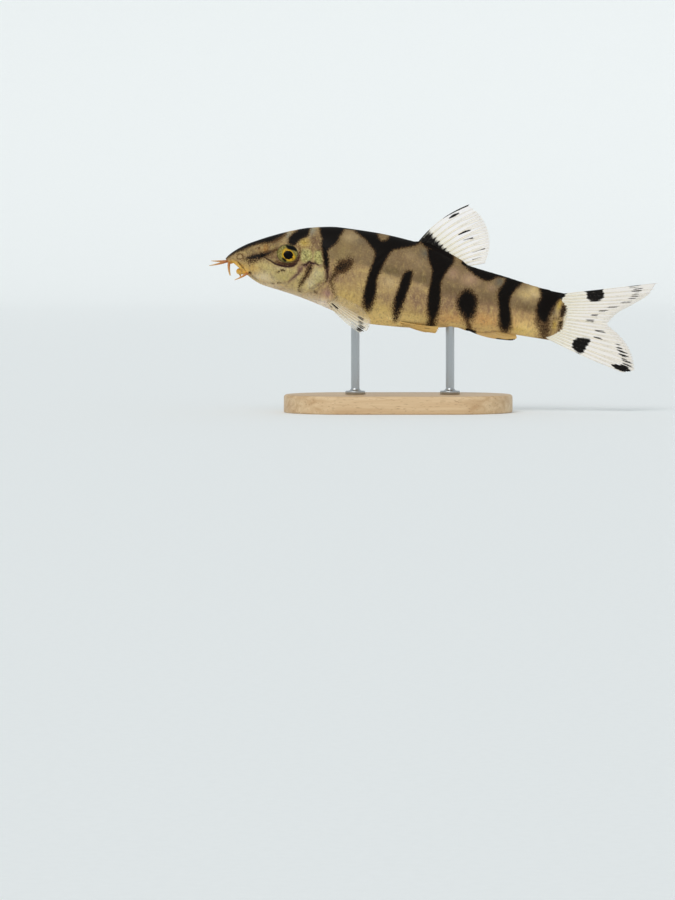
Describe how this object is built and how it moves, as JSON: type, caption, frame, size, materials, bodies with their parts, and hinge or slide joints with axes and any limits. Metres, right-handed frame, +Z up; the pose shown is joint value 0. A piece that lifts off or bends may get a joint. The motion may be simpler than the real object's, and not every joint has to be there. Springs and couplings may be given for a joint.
{
  "type": "yoyo loach",
  "caption": "Still, life-size yoyo loach with barbels, forked tail and ray fins, held nose up over a flat base by two thin rods.",
  "frame": {"origin": "on the surface that the stand rests on, under the middle of the object's box", "axes": "+Z up, the head towards -X, the fish's left side towards -Y"},
  "size_m": [0.1258, 0.034, 0.0582],
  "materials": {
    "skin": "wet, smooth, barred dark on tan",
    "fin": "thin, cream, barred dark",
    "eye": "clear and wet over a gold iris",
    "barbel": "soft, reddish orange",
    "base": "pale, satin",
    "steel": "satin"
  },
  "bodies": {
    "root": {"head": "skin", "trunk": "skin", "tail": "skin", "dorsal_fin": "fin", "anal_fin": "fin", "caudal_fin_upper": "fin", "caudal_fin_lower": "fin", "pectoral_fin_left": "fin", "pectoral_fin_right": "fin", "pelvic_fin_left": "fin", "pelvic_fin_right": "fin", "eye_left": "eye", "eye_right": "eye", "barbel_rostral_inner_left": "barbel", "barbel_rostral_inner_right": "barbel", "barbel_rostral_outer_left": "barbel", "barbel_rostral_outer_right": "barbel", "barbel_maxillary_left": "barbel", "barbel_maxillary_right": "barbel", "barbel_mandibular_left": "barbel", "barbel_mandibular_right": "barbel", "stand_base": "base", "stand_rod_front": "steel", "stand_rod_rear": "steel"}
  },
  "joints": []
}
